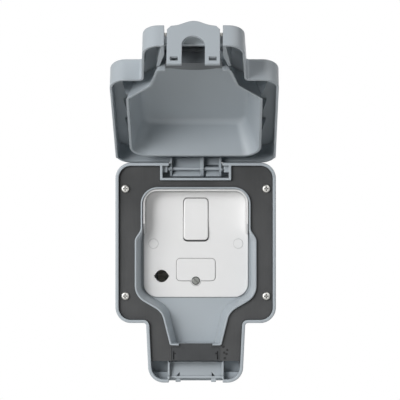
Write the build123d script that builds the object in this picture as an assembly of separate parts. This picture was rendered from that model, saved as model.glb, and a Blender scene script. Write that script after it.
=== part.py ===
"""Weatherproof switched fused spur, lid open, in millimetres.

The enclosure hangs on a wall: X runs to the right, Z up, and the viewer looks along +Y.
The origin is the middle of the four wall fixings on the back face. Every depth is measured
from the wall towards the viewer, so a point at depth d has y = -d. The lid and its latch
are drawn shut, and are then swung open about the hinge pin as one.
"""

from build123d import *
from math import hypot, radians, sin
import os

# Enclosure outline: a square case with a cable neck below it
CASE_WIDTH = 113.2
CASE_HEIGHT = 113.2
CASE_CORNER = 11.0
NECK_LENGTH = 42.0
NECK_TOP_WIDTH = 70.0
NECK_END_WIDTH = 66.0
NECK_ROOT_CORNER = 2.0

# Back box
CASE_DEPTH = 46.0
CASE_WALL = 2.2
LEDGE_WIDTH = 1.2
BACK_WALL = 2.6
RIM_ROUND = 0.9
PARTITION_TOP_Z = -81.8
PARTITION_WALL = 1.6
ENTRY_RADIUS = 10.2
ENTRY_GROOVE_WIDTH = 0.8
ENTRY_GROOVE_DEPTH = 1.2
ENTRY_DEPTH = 14.5
WALL_HOLE_SPACING_X = 76.0
WALL_HOLE_SPACING_Z = 84.0
WALL_HOLE_RADIUS = 2.6
WALL_PAD_RADIUS = 5.5
WALL_PAD_HEIGHT = 2.0

# Cable trough below the partition
TROUGH_FLOOR_DROP = 12.0
TROUGH_HALF_WIDTH = 18.4
TROUGH_RIB = 1.4
POCKET_FLOOR_DROP = 18.0
POCKET_END_Z = -91.8
END_WALL_DROP = 8.0

# Frame that carries the accessory, and the mat on it
FRAME_GAP = 0.4
GASKET_THICKNESS = 1.0
FLANGE_THICKNESS = 2.0
MAT_THICKNESS = 2.0
MAT_DROP = 2.5
BOWL_RIM_DROP = 0.4
BOWL_WALL = 1.2
BOWL_RIM_ROUND = 0.45
BOWL_LIP = 1.4
FRAME_SCREW_INSET = 6.8
FRAME_SCREW_DOWN = 18.4
FRAME_SCREW_UP = 19.0
FRAME_SCREW_LENGTH = 17.0
FRAME_SCREW_SHANK = 1.5
FRAME_SCREW_HEAD = 2.95
FRAME_SCREW_HEAD_HEIGHT = 2.1
FRAME_SCREW_CROSS = 1.55
FRAME_SCREW_CROSS_DEPTH = 1.3
CROWN_ROOM = 4.0
CROWN_REACH = 2.6
BOSS_RADIUS = 3.9
PILOT_DEPTH = 20.0

# Accessory plate and the space behind it
PLATE_DROP = 14.0
PLATE_THICKNESS = 3.5
PLATE_HALF_WIDTH = 37.4
PLATE_TOP_Z = 38.1
PLATE_BOTTOM_Z = -38.9
PLATE_CORNER = 10.0
PLATE_PROUD = 1.0
BOWL_FLOOR = 2.0
UPSTAND_WALL = 1.1
UPSTAND_DROP = 1.0
UPSTAND_END_Z = 6.0
UPSTAND_SLOPE = 9.0
MODULE_CENTRES = 60.3
MODULE_SCREW_SHANK = 1.6
MODULE_SCREW_HEAD = 2.9
MODULE_SCREW_HEAD_HEIGHT = 1.1
MODULE_SCREW_LENGTH = 9.0
MODULE_SCREW_SEAT = 1.4
MODULE_SCREW_SLOT = 0.8
MODULE_SCREW_SLOT_DEPTH = 0.6
INSERT_RADIUS = 2.6
INSERT_LENGTH = 8.0
INSERT_BORE = 1.65
INSERT_BOSS_WALL = 1.4
INSERT_BOSS_FLOOR = 1.2
MODULE_FIXING_Z = -0.7
HOUSING_DEPTH = 22.5
HOUSING_WALL = 1.8
HOUSING_HALF_WIDTH = 25.5
HOUSING_WIDE_HALF = 31.4
HOUSING_STEP_Z = -10.6
HOUSING_TOP_Z = 34.2
HOUSING_BOTTOM_Z = -33.6
SWITCH_ROOM_HALF = 11.2
SWITCH_ROOM_HEIGHT = 31.6
CARRIER_ROOM_GAP = 0.5
TERMINAL_SIZE = 8.0
TERMINAL_SINK = 1.6
TERMINAL_DEPTH = 9.0
TERMINALS = {
    "live_supply_terminal": (18.2, 26.0),
    "neutral_supply_terminal": (-18.2, 26.0),
    "live_load_terminal": (18.2, 9.0),
    "neutral_load_terminal": (-18.2, 9.0),
}
TERMINAL_BEVEL = 0.6
WIRE_HOLE_RADIUS = 1.9
WIRE_HOLE_DROP = 2.9
TERMINAL_SCREW_HOLE = 1.6
TERMINAL_SCREW_SHANK = 1.55
TERMINAL_SCREW_REACH = 3.8
TERMINAL_SCREW_HEAD = 2.4
TERMINAL_SCREW_HEAD_HEIGHT = 1.4
TERMINAL_SCREW_SLOT = 0.7
TERMINAL_SCREW_SLOT_DEPTH = 0.6
EARTH_X = 22.6
EARTH_Z = -22.0
EARTH_LENGTH = 17.0

# Rocker switch
ROCKER_Z = 16.4
ROCKER_WIDTH = 17.6
ROCKER_HEIGHT = 30.0
ROCKER_CORNER = 2.9
ROCKER_END_GAP = 0.65
ROCKER_SIDE_GAP = 0.3
ROCKER_TILT = 4.5
ROCKER_PIVOT_DROP = 5.2
ROCKER_PROUD = 0.9
ROCKER_THICKNESS = 5.6
TRUNNION_RADIUS = 1.5
TRUNNION_LENGTH = 1.9
ROCKER_EDGE_ROUND = 0.9
ROCKER_WALL = 1.6
ROCKER_FACE = 2.0
BLADE_SPREAD = 5.0
BLADE_TILT = 5.0
BLADE_LENGTH = 18.0
BLADE_WIDTH = 4.0
BLADE_THICKNESS = 1.0
PLUNGER_REACH = 10.2
PLUNGER_SET_BACK = 3.4
SPRING_WIRE = 0.4
SPRING_PITCH = 1.2
SPRING_RADIUS = 1.3

# Fuse carrier
CARRIER_Z = -19.2
CARRIER_WIDTH = 27.6
CARRIER_HEIGHT = 15.9
CARRIER_CORNER = 2.7
CARRIER_GAP = 0.25
CARRIER_PROUD = 0.5
CARRIER_SCREW_Z = -27.1
CARRIER_SCREW_SHANK = 1.4
CARRIER_SCREW_HEAD = 2.9
CARRIER_SCREW_LENGTH = 9.0
CARRIER_EAR_RADIUS = 3.5
CARRIER_BODY_DEPTH = 15.0
FUSE_LENGTH = 25.4
FUSE_RADIUS = 3.15
FUSE_CAP_LENGTH = 5.6
FUSE_DROP = 10.4

# Flex outlet, its clamp and the screw caps
FLEX_X = -24.4
FLEX_Z = -23.8
FLEX_RADIUS = 4.45
FLEX_POINT = 5.6
CLAMP_WIDTH = 7.0
CLAMP_SPAN = 7.0
CLAMP_THICKNESS = 2.4
CLAMP_SCREW = 1.1
CAP_RADIUS = 3.4
CAP_THICKNESS = 1.0
CAP_PROUD = 0.3
CAP_ROUND = 0.3

# Hinge
HINGE_DOWN = 4.2
HINGE_DROP = 6.15
PIN_RADIUS = 1.25
PIN_FIT = 0.05
POCKET_HALF_WIDTH = 23.4
POCKET_WALL = 1.7
POCKET_DOWN = 10.8
POCKET_DROP = 16.0
NOTCH_HALF_WIDTH = 18.9
FLAP_HALF_WIDTH = 18.2
FLAP_THICKNESS = 1.6
FLAP_DROP = 10.8
FLAP_WINDOW_X = (6.6, 16.2)
FLAP_WINDOW_DROP = (1.4, 3.6)
FLAP_NOTCH_X = (5.4, 7.2)
FLAP_NOTCH_DROP = 6.4
HINGE_ARM = 1.5
HINGE_RIB_X = 4.4
HINGE_RIB = 2.6
FLAP_GAP = 0.3
ARM_ROOT = 4.0
ARM_WALL = 1.9
BEARING_WIDTH = 3.4
BEARING_BELOW = 1.4
BEARING_FRONT = 1.3

# Lid
LID_OPEN = 118.0
LID_GAP = 0.3
LID_SWING_RELIEF = 1.2
LID_RELIEF_LENGTH = 8.0
SKIRT_DEPTH = 17.2
LID_WALL = 1.5
LID_PLATE = 2.4
LID_NECK_FALL = 1.3
LID_EDGE_ROUND = 1.6
DOME_HEIGHT = 25.0
DOME_WALL = 1.7
DOME_ROUND = 4.0
DOME_INNER_ROUND = 5.0
DOME_LIP = 2.2
GUSSET = 1.4
GUSSET_REACH = 3.0
GUSSET_START = 3.0
GUSSETS_Z = (-34.0, -9.0, 16.6)

# Latch
LATCH_WIDTH = 34.6
LATCH_THICKNESS = 2.0
LATCH_REACH = 13.6
LATCH_TAB_HEIGHT = 19.5
LATCH_SHOULDER_HEIGHT = 15.6
LATCH_CORNER = 2.5
LATCH_RECESS_HALF = 19.1
LATCH_RECESS_LENGTH = 12.2
LATCH_ARCH_HALF = 7.5
LATCH_ARCH_TOP = 8.0
LATCH_ARCH_RISE = 5.8
LATCH_CLEARANCE = 0.4
RECESS_WALL = 1.8
LATCH_PIVOT_HEIGHT = 11.6
LATCH_PIVOT_IN = 4.4
LATCH_BARREL_RADIUS = 2.7
SLOT_X = 12.55
SLOT_WIDTH = 5.0
SLOT_HEIGHT = 3.0
SLOT_DROP = 9.5
LUG_WIDTH = 3.4
LUG_HEIGHT = 2.4
LUG_LENGTH = 2.7
LUG_RELIEF = 2.4
LATCH_RECESS_BACK = 24.0
LATCH_KNUCKLE_X = 8.4
BEAD_RADIUS = 1.1
BEAD_HEIGHT = 9.4

# Cable seals
SEAL_HALF_WIDTH = 17.0
SEAL_TOP_Z = -73.8
SEAL_GAP = 0.2
SEAL_DEPTH = 9.0
SEAL_CROWN_HALF = 11.7
CRADLE_WALL = 1.6
LID_SEAL_FOOT_Z = -77.4
LID_SEAL_THICKNESS = 6.6
LID_SEAL_HALF_WIDTH = 18.6
LID_SEAL_SHOULDER = 3.0
LID_SEAL_CROWN = 12.6
LID_SEAL_MEMBRANE = 14.0
LID_SEAL_GAP = 0.1
SEAL_GROOVE_X = (15.1, 15.9)
SEAL_GROOVE_DROP = 2.8
SEAL_GROOVE_FOOT = 0.8
SEAL_GROOVE_DEPTH = 1.4
SEAL_HOOK_X = (13.9, 15.5)
SEAL_HOOK_DROP = (4.9, 4.1)
LID_SEAL_BULGE = 3.6
LID_SEAL_BULGE_RADIUS = 55.0

# Heights and depths that follow from the sizes above
TOP = CASE_HEIGHT / 2
SHOULDER = -CASE_HEIGHT / 2
BOTTOM = SHOULDER - NECK_LENGTH
SIDE = CASE_WIDTH / 2
RIM = CASE_DEPTH
MAT_TOP = RIM - MAT_DROP
MAT_BACK = MAT_TOP - MAT_THICKNESS
FLANGE_BACK = MAT_BACK - FLANGE_THICKNESS
LEDGE = FLANGE_BACK - GASKET_THICKNESS
FRAME_END_Z = PARTITION_TOP_Z - PARTITION_WALL
BOWL_RIM = RIM - BOWL_RIM_DROP
PLATE_FRONT = RIM - PLATE_DROP
PLATE_BACK = PLATE_FRONT - PLATE_THICKNESS
BOWL_FLOOR_FRONT = PLATE_FRONT - PLATE_PROUD
BOWL_FLOOR_BACK = PLATE_BACK - BOWL_FLOOR
HOUSING_BACK = PLATE_BACK - HOUSING_DEPTH
MODULE_SEAT = PLATE_BACK + MODULE_SCREW_SEAT
TERMINAL_BACK = HOUSING_BACK + TERMINAL_SINK
TROUGH_FLOOR = RIM - TROUGH_FLOOR_DROP
POCKET_FLOOR = RIM - POCKET_FLOOR_DROP
END_WALL_TOP = RIM - END_WALL_DROP
HINGE_Z = TOP - HINGE_DOWN
HINGE_DEPTH = RIM - HINGE_DROP
HINGE_FLOOR = RIM - POCKET_DROP
LID_RIM = RIM + LID_GAP
LID_PLATE_FRONT = RIM + SKIRT_DEPTH
LID_PLATE_BACK = LID_PLATE_FRONT - LID_PLATE
DOME_FRONT = RIM + DOME_HEIGHT
DOME_BACK = RIM - DOME_LIP
LATCH_OUTER_Z = BOTTOM + 0.2
LATCH_INNER_Z = LATCH_OUTER_Z + LATCH_THICKNESS
RECESS_Z = LATCH_INNER_Z + LATCH_CLEARANCE
SEAL_END_Z = FRAME_END_Z + SEAL_GAP
SEAL_FLOOR = MAT_TOP - SEAL_DEPTH
ROCKER_DEPTH = PLATE_FRONT - ROCKER_PIVOT_DROP
FUSE_DEPTH = PLATE_FRONT - FUSE_DROP
BLADE_DEPTH = ROCKER_DEPTH - PLUNGER_REACH - 0.5
PLUNGER_TIP = ROCKER_DEPTH - PLUNGER_REACH
PLUNGER_HEAD = ROCKER_DEPTH - PLUNGER_SET_BACK
HINGE_LINE = Axis((0, -HINGE_DEPTH, HINGE_Z), (1, 0, 0))

# Half outlines, right side, from top to bottom, each point with its corner radius
CASE_HALF = [
    (CASE_WIDTH / 2, TOP, CASE_CORNER),
    (CASE_WIDTH / 2, SHOULDER, CASE_CORNER),
    (NECK_TOP_WIDTH / 2, SHOULDER, NECK_ROOT_CORNER),
    (NECK_END_WIDTH / 2, BOTTOM, CASE_CORNER),
]
BOWL_HALF = [
    (38.8, 39.3, 12.0),
    (38.8, 9.0, 6.0),
    (43.0, 2.6, 6.0),
    (43.0, -37.8, 13.0),
    (24.0, -48.9, 12.0),
    (18.1, -72.4, 1.6),
]
BOWL_FLOOR_HALF = [
    (37.7, 38.4, 10.9),
    (37.7, 7.0, 6.0),
    (38.6, 1.0, 6.0),
    (38.6, -34.6, 9.0),
    (19.6, -45.7, 12.0),
    (13.8, -71.2, 1.0),
]
DOME_HALF = [
    (46.0, 41.8, 13.0),
    (46.0, -36.4, 3.0),
    (29.8, -53.2, 3.0),
    (24.6, -72.6, 1.8),
]
DOME_FRONT_HALF = [
    (38.0, 35.0, 10.5),
    (38.0, -32.6, 9.0),
    (22.4, -49.2, 9.0),
    (17.6, -71.6, 9.0),
]
HOUSING_HALF = [
    (HOUSING_HALF_WIDTH, HOUSING_TOP_Z, 3.0),
    (HOUSING_HALF_WIDTH, HOUSING_STEP_Z, 1.0),
    (HOUSING_WIDE_HALF, HOUSING_STEP_Z, 2.0),
    (HOUSING_WIDE_HALF, HOUSING_BOTTOM_Z, 3.0),
]
PLATE_HALF = [
    (PLATE_HALF_WIDTH, PLATE_TOP_Z, PLATE_CORNER),
    (PLATE_HALF_WIDTH, PLATE_BOTTOM_Z, PLATE_CORNER),
]


def whole(half):
    """The full outline of a right half, anticlockwise."""
    return half[::-1] + [(-x, z, r) for x, z, r in half]


def grown(outline, amount):
    """An anticlockwise outline moved outwards by an amount, or inwards if it is negative."""
    count = len(outline)
    moved = []
    for i in range(count):
        ax, az, _ = outline[i - 1]
        bx, bz, radius = outline[i]
        cx, cz, _ = outline[(i + 1) % count]
        in_x, in_z = bx - ax, bz - az
        out_x, out_z = cx - bx, cz - bz
        in_length, out_length = hypot(in_x, in_z), hypot(out_x, out_z)
        n1 = (in_z / in_length, -in_x / in_length)
        n2 = (out_z / out_length, -out_x / out_length)
        share = amount / (1 + n1[0] * n2[0] + n1[1] * n2[1])
        convex = in_x * out_z - in_z * out_x > 0
        new_radius = radius + amount if convex else radius - amount
        moved.append((bx + (n1[0] + n2[0]) * share, bz + (n1[1] + n2[1]) * share, max(new_radius, 0.3)))
    return moved


def outline_face(outline, depth):
    """A closed outline as a face at that depth."""
    points = [(x, z) for x, z, _ in outline]
    radii = [r for _, _, r in outline]
    return Plane.XZ.offset(depth) * make_face(FilletPolyline(*points, radius=radii, close=True))


def prism(outline, back, front):
    """An outline drawn out from one depth to another."""
    return extrude(outline_face(outline, back), front - back, dir=(0, -1, 0))


def drafted(back_outline, back, front_outline, front):
    """A straight-sided taper between two outlines with the same number of points."""
    return loft([outline_face(back_outline, back), outline_face(front_outline, front)], ruled=True)


def block(x0, x1, z0, z1, back, front):
    """A box between two widths, heights and depths."""
    middle = Pos((x0 + x1) / 2, -(back + front) / 2, (z0 + z1) / 2)
    return middle * Box(abs(x1 - x0), abs(front - back), abs(z1 - z0))


def post(x, z, radius, back, front):
    """A cylinder that points at the viewer."""
    return Pos(x, -(back + front) / 2, z) * Rot(90, 0, 0) * Cylinder(radius, front - back)


def bar(x0, x1, z, depth, radius):
    """A cylinder that lies from left to right."""
    return Pos((x0 + x1) / 2, -depth, z) * Rot(0, 90, 0) * Cylinder(radius, abs(x1 - x0))


def side_slab(x0, x1, points):
    """A slab from left to right with a side view given as (height, depth) points."""
    face = make_face(Polyline(*[(-depth, z) for z, depth in points], close=True))
    return extrude(Plane.YZ.offset(min(x0, x1)) * face, abs(x1 - x0), dir=(1, 0, 0))


def rounded_rectangle(width, height, z, corner):
    """A centred rectangle as an outline."""
    return whole([(width / 2, z + height / 2, corner), (width / 2, z - height / 2, corner)])


def both_sides(shape):
    """A shape and its mirror image on the other side of the middle."""
    return shape + mirror(shape, about=Plane.YZ)


def rim_edges(shape, depth):
    """The edges of a shape that lie flat at one depth."""
    boxes = [(edge, edge.bounding_box()) for edge in shape.edges()]
    return [edge for edge, box in boxes if abs(box.min.Y + depth) < 1e-4 and abs(box.max.Y + depth) < 1e-4]


CASE = whole(CASE_HALF)
BOWL = whole(BOWL_HALF)
DOME = whole(DOME_HALF)
HOUSING = whole(HOUSING_HALF)
PLATE = whole(PLATE_HALF)
FRAME_SCREWS_XZ = [
    (side * (SIDE - FRAME_SCREW_INSET), z)
    for side in (-1, 1)
    for z in (TOP - FRAME_SCREW_DOWN, SHOULDER + FRAME_SCREW_UP)
]


def swing_open(shape):
    """Turns a shape of the shut lid about the hinge pin to where the open lid has it."""
    return shape.rotate(HINGE_LINE, -LID_OPEN)


def make_back_box():
    """The moulded box on the wall, with its hinge pocket, bosses, trough and latch lugs."""
    box = prism(CASE, 0, RIM)
    box = fillet(rim_edges(box, RIM), RIM_ROUND)
    above_partition = block(-CASE_WIDTH, CASE_WIDTH, PARTITION_TOP_Z, TOP + 1, 0, RIM + 1)
    deep = prism(grown(CASE, -CASE_WALL - LEDGE_WIDTH), BACK_WALL, LEDGE) & above_partition
    above_frame_end = block(-CASE_WIDTH, CASE_WIDTH, FRAME_END_Z, TOP + 1, 0, RIM + 1)
    seat = prism(grown(CASE, -CASE_WALL), LEDGE, RIM + 1) & above_frame_end
    box = box - deep - seat

    # Hinge pocket, open at the top between the two bearings
    box += block(
        -POCKET_HALF_WIDTH - POCKET_WALL,
        POCKET_HALF_WIDTH + POCKET_WALL,
        TOP - POCKET_DOWN - POCKET_WALL,
        TOP - CASE_WALL / 2,
        HINGE_FLOOR - POCKET_WALL,
        RIM,
    )
    box -= block(
        -POCKET_HALF_WIDTH, POCKET_HALF_WIDTH, TOP - POCKET_DOWN, TOP - CASE_WALL, HINGE_FLOOR, RIM + 1
    )
    box -= block(-NOTCH_HALF_WIDTH, NOTCH_HALF_WIDTH, TOP - POCKET_DOWN, TOP + 1, HINGE_FLOOR, RIM + 1)
    bearing = block(
        POCKET_HALF_WIDTH - BEARING_WIDTH,
        POCKET_HALF_WIDTH,
        HINGE_Z - PIN_RADIUS - BEARING_BELOW,
        TOP - CASE_WALL,
        HINGE_FLOOR,
        HINGE_DEPTH + PIN_RADIUS + BEARING_FRONT,
    )
    box += both_sides(bearing)
    reach = POCKET_HALF_WIDTH - 0.4
    box -= bar(-reach, reach, HINGE_Z, HINGE_DEPTH, PIN_RADIUS + PIN_FIT)

    # Cable trough under the frame's end
    neck_room = prism(grown(CASE, -CASE_WALL), TROUGH_FLOOR, RIM + 1)
    wall_inside = RECESS_Z + RECESS_WALL
    middle = block(-TROUGH_HALF_WIDTH, TROUGH_HALF_WIDTH, wall_inside, FRAME_END_Z, TROUGH_FLOOR, RIM + 1)
    box -= neck_room & middle
    side_room = prism(grown(CASE, -CASE_WALL), POCKET_FLOOR, RIM + 1)
    rib_x = TROUGH_HALF_WIDTH + TROUGH_RIB
    pocket = block(rib_x, CASE_WIDTH / 2, POCKET_END_Z, FRAME_END_Z, POCKET_FLOOR, RIM + 1)
    shelf = block(rib_x, CASE_WIDTH / 2, BOTTOM, FRAME_END_Z, TROUGH_FLOOR, RIM + 1)
    box -= side_room & both_sides(pocket)
    box -= neck_room & both_sides(shelf)
    rib_cut = block(
        TROUGH_HALF_WIDTH - 0.1, rib_x + 0.1, wall_inside, FRAME_END_Z, TROUGH_FLOOR + 6.0, RIM + 1
    )
    box -= both_sides(rib_cut)

    # Gap in the partition for the cradle of the lower cable seal
    reach = SEAL_HALF_WIDTH + CRADLE_WALL + FRAME_GAP
    cradle_back = SEAL_FLOOR - CRADLE_WALL - FRAME_GAP
    box -= block(-reach, reach, FRAME_END_Z - 1, PARTITION_TOP_Z + 1, cradle_back, RIM + 1)

    # Flat in the end wall for the latch, its two lugs, and the low wall that a flex leaves over
    recess = block(-LATCH_RECESS_HALF, LATCH_RECESS_HALF, BOTTOM - 1, RECESS_Z, LATCH_RECESS_BACK, RIM + 1)
    box -= recess
    box -= block(-TROUGH_HALF_WIDTH, TROUGH_HALF_WIDTH, BOTTOM, wall_inside + 0.1, END_WALL_TOP, RIM + 1)
    ramp = [
        (wall_inside - 0.5, TROUGH_FLOOR - 0.5),
        (wall_inside - 0.5, END_WALL_TOP - 0.8),
        (wall_inside, END_WALL_TOP - 0.8),
        (FRAME_END_Z - 2.0, TROUGH_FLOOR),
        (FRAME_END_Z - 2.0, TROUGH_FLOOR - 0.5),
    ]
    box += side_slab(-TROUGH_HALF_WIDTH, TROUGH_HALF_WIDTH, ramp)
    lug_depth = RIM - SLOT_DROP
    lug = block(
        SLOT_X - LUG_WIDTH / 2,
        SLOT_X + LUG_WIDTH / 2,
        RECESS_Z - LUG_LENGTH,
        RECESS_Z + RECESS_WALL / 2,
        lug_depth - LUG_HEIGHT / 2,
        lug_depth + LUG_HEIGHT / 2,
    )
    box += both_sides(lug)
    corner = [
        (SLOT_X - LUG_RELIEF / 2, wall_inside + LUG_RELIEF),
        (SLOT_X - LUG_RELIEF / 2, wall_inside - 0.3),
        (SLOT_X + LUG_RELIEF / 2, wall_inside - 0.3),
    ]
    triangle = make_face(Polyline(*corner, close=True))
    relief = extrude(Plane.XZ.offset(TROUGH_FLOOR) * triangle, RIM, dir=(0, -1, 0))
    box -= both_sides(relief)

    # Bosses for the frame screws, pads round the wall holes, and the holes
    inside = prism(grown(CASE, -CASE_WALL / 2), 0, LEDGE)
    for x, z in FRAME_SCREWS_XZ:
        box += post(x, z, BOSS_RADIUS, BACK_WALL / 2, LEDGE) & inside
        box -= post(x, z, FRAME_SCREW_SHANK + PIN_FIT, LEDGE - PILOT_DEPTH, LEDGE + 1)
    for side in (-1, 1):
        for z in (-WALL_HOLE_SPACING_Z / 2, WALL_HOLE_SPACING_Z / 2):
            x = side * WALL_HOLE_SPACING_X / 2
            box += post(x, z, WALL_PAD_RADIUS, BACK_WALL / 2, BACK_WALL + WALL_PAD_HEIGHT)
            box -= post(x, z, WALL_HOLE_RADIUS, -1, BACK_WALL + WALL_PAD_HEIGHT + 1)

    # Thinned rings where a cable entry can be knocked out: top, sides, foot and back
    groove = Cylinder(ENTRY_RADIUS, 2 * ENTRY_GROOVE_DEPTH) - Cylinder(
        ENTRY_RADIUS - ENTRY_GROOVE_WIDTH, 3 * ENTRY_GROOVE_DEPTH
    )
    box -= Pos(0, -ENTRY_DEPTH, TOP) * groove
    box -= Pos(0, -ENTRY_RADIUS - 2.2, BOTTOM) * groove
    box -= both_sides(Pos(CASE_WIDTH / 2, -ENTRY_DEPTH, 0) * Rot(0, 90, 0) * groove)
    box -= Pos(0, 0, -ENTRY_DEPTH) * Rot(90, 0, 0) * groove
    return box


def cross_recess(x, z, top, size, depth):
    """A tapered cross that a driver fits, cut from a screw head."""
    arm = 0.28 * size
    cross = block(x - size, x + size, z - arm, z + arm, top - depth, top + 1)
    cross += block(x - arm, x + arm, z - size, z + size, top - depth, top + 1)
    return cross


def pan_screw(x, z, seat, shank, head, head_height, length):
    """A domed screw whose head sits on a seat, pointing at the wall."""
    screw = post(x, z, head, seat, seat + head_height)
    screw = fillet(rim_edges(screw, seat + head_height), head_height * 0.72)
    screw += post(x, z, shank, seat - length, seat + 0.2)
    point = rim_edges(screw, seat - length)
    return chamfer(point, shank * 0.45)


def make_frame_screws():
    """Four cross-head screws that hold the frame to the box."""
    screws = []
    for x, z in FRAME_SCREWS_XZ:
        screw = pan_screw(
            x, z, MAT_TOP, FRAME_SCREW_SHANK, FRAME_SCREW_HEAD, FRAME_SCREW_HEAD_HEIGHT, FRAME_SCREW_LENGTH
        )
        top = MAT_TOP + FRAME_SCREW_HEAD_HEIGHT
        cross = cross_recess(x, z, top, FRAME_SCREW_CROSS, FRAME_SCREW_CROSS_DEPTH)
        screws.append(screw - cross)
    return Compound(screws)


def pocket_room(gap):
    """The space that the hinge pocket takes out of the frame and the mat."""
    reach = POCKET_HALF_WIDTH + POCKET_WALL + gap
    return block(-reach, reach, TOP - POCKET_DOWN - POCKET_WALL - gap, TOP + 1, 0, RIM + 1)


def make_box_gasket():
    """The flat ring that seals the frame's flange on the ledge of the box."""
    ring = prism(grown(CASE, -CASE_WALL - FRAME_GAP / 2), LEDGE, FLANGE_BACK)
    ring -= prism(grown(CASE, -CASE_WALL - LEDGE_WIDTH), LEDGE - 1, FLANGE_BACK + 1)
    ring -= pocket_room(FRAME_GAP)
    ring -= block(-CASE_WIDTH, CASE_WIDTH, BOTTOM - 1, FRAME_END_Z, 0, RIM + 1)
    reach = NECK_END_WIDTH / 2 - CASE_WALL + 0.2
    strip = block(-reach, reach, FRAME_END_Z, PARTITION_TOP_Z, LEDGE, FLANGE_BACK)
    cradle_x = SEAL_HALF_WIDTH + CRADLE_WALL + FRAME_GAP
    strip -= block(-cradle_x, cradle_x, BOTTOM, 0, 0, RIM)
    return ring + (strip & prism(grown(CASE, -CASE_WALL - FRAME_GAP / 2), 0, RIM))


def frame_area(outline, back, front):
    """The part of an outline that the frame and the mat cover, clear of the hinge pocket."""
    area = prism(outline, back, front) - pocket_room(FRAME_GAP)
    return area - block(-CASE_WIDTH, CASE_WIDTH, BOTTOM - 1, FRAME_END_Z, 0, RIM + 1)


def module_screws_xz():
    return [(side * MODULE_CENTRES / 2, MODULE_FIXING_Z) for side in (-1, 1)]


def make_front_frame():
    """The pale frame: a flange on the ledge, and the bowl that holds the accessory."""
    flange = frame_area(grown(CASE, -CASE_WALL - FRAME_GAP), FLANGE_BACK, MAT_BACK)
    lip = BOWL_RIM - BOWL_LIP
    rim = prism(BOWL, lip, BOWL_RIM)
    rim = fillet(rim_edges(rim, BOWL_RIM), BOWL_RIM_ROUND)
    frame = flange + drafted(grown(whole(BOWL_FLOOR_HALF), BOWL_WALL), BOWL_FLOOR_BACK, BOWL, lip) + rim
    frame -= drafted(whole(BOWL_FLOOR_HALF), BOWL_FLOOR_FRONT, grown(BOWL, -BOWL_WALL), BOWL_RIM + 0.01)
    frame -= prism(grown(PLATE, 0.2), PLATE_BACK, RIM - 4) & block(
        -CASE_WIDTH, CASE_WIDTH, PLATE_BOTTOM_Z - 0.3, TOP, 0, BOWL_FLOOR_FRONT + 0.01
    )
    frame -= prism(grown(HOUSING, 0.3), 0, PLATE_BACK + 1)
    frame -= block(-CASE_WIDTH, CASE_WIDTH, BOTTOM, PLATE_BOTTOM_Z - 3, 0, BOWL_FLOOR_FRONT - BOWL_FLOOR)

    # Seat for the rubber cable seal at the foot of the funnel
    cradle_x = SEAL_HALF_WIDTH + CRADLE_WALL
    cradle = block(-cradle_x, cradle_x, FRAME_END_Z, SEAL_TOP_Z + 1.4, SEAL_FLOOR - CRADLE_WALL, MAT_BACK)
    frame += cradle
    frame -= block(
        -SEAL_HALF_WIDTH - SEAL_GAP,
        SEAL_HALF_WIDTH + SEAL_GAP,
        FRAME_END_Z - 1,
        SEAL_TOP_Z + SEAL_GAP,
        SEAL_FLOOR,
        RIM + 1,
    )
    frame -= seal_crown(SEAL_GAP, SEAL_TOP_Z + CROWN_ROOM)

    # Bosses for the accessory's two screws
    boss_back = BOWL_FLOOR_BACK - INSERT_LENGTH - INSERT_BOSS_FLOOR
    for x, z in module_screws_xz():
        frame += post(x, z, INSERT_RADIUS + INSERT_BOSS_WALL, boss_back, PLATE_BACK)
        frame -= post(x, z, INSERT_RADIUS, BOWL_FLOOR_BACK - INSERT_LENGTH, PLATE_BACK + 1)
    for x, z in FRAME_SCREWS_XZ:
        frame -= post(x, z, FRAME_SCREW_SHANK + 0.5, FLANGE_BACK - 1, RIM)
    return frame


def make_fixing_inserts():
    """Two threaded brass inserts in the frame's bosses."""
    inserts = []
    for x, z in module_screws_xz():
        insert = post(x, z, INSERT_RADIUS, BOWL_FLOOR_BACK - INSERT_LENGTH, BOWL_FLOOR_BACK)
        insert -= post(x, z, INSERT_BORE, 0, RIM)
        inserts.append(insert)
    return Compound(inserts)


def make_sealing_mat():
    """The dark mat that the shut lid's inner wall presses on."""
    mat = frame_area(grown(CASE, -CASE_WALL - FRAME_GAP), MAT_BACK, MAT_TOP)
    mat -= prism(grown(BOWL, SEAL_GAP), 0, RIM + 1)
    mat -= block(
        -SEAL_HALF_WIDTH - SEAL_GAP, SEAL_HALF_WIDTH + SEAL_GAP, BOTTOM, SEAL_TOP_Z + SEAL_GAP, 0, RIM + 1
    )
    mat -= seal_crown(SEAL_GAP, SEAL_TOP_Z + CROWN_ROOM)
    for x, z in FRAME_SCREWS_XZ:
        mat -= post(x, z, FRAME_SCREW_SHANK + 0.3, 0, RIM)
    return mat


def seal_crown(gap, top_z):
    """The raised middle of the lower seal, which closes the end of the bowl."""
    half = SEAL_CROWN_HALF + gap
    return block(-half, half, SEAL_TOP_Z - 1, top_z, MAT_TOP - 4.0 - gap, MAT_TOP if gap == 0 else RIM + 1)


def make_base_cable_seal():
    """The soft lower seal, with a moulded groove near either end."""
    seal = block(-SEAL_HALF_WIDTH, SEAL_HALF_WIDTH, SEAL_END_Z, SEAL_TOP_Z, SEAL_FLOOR, MAT_TOP)
    seal += seal_crown(0, SEAL_TOP_Z + CROWN_REACH)
    floor = MAT_TOP - SEAL_GROOVE_DEPTH
    foot, top = SEAL_END_Z + SEAL_GROOVE_FOOT, SEAL_TOP_Z - SEAL_GROOVE_DROP
    groove = block(*SEAL_GROOVE_X, foot, top, floor, RIM)
    low, high = [SEAL_TOP_Z - drop for drop in SEAL_HOOK_DROP]
    groove += block(*SEAL_HOOK_X, low, high, floor, RIM)
    return seal - both_sides(groove)


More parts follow.
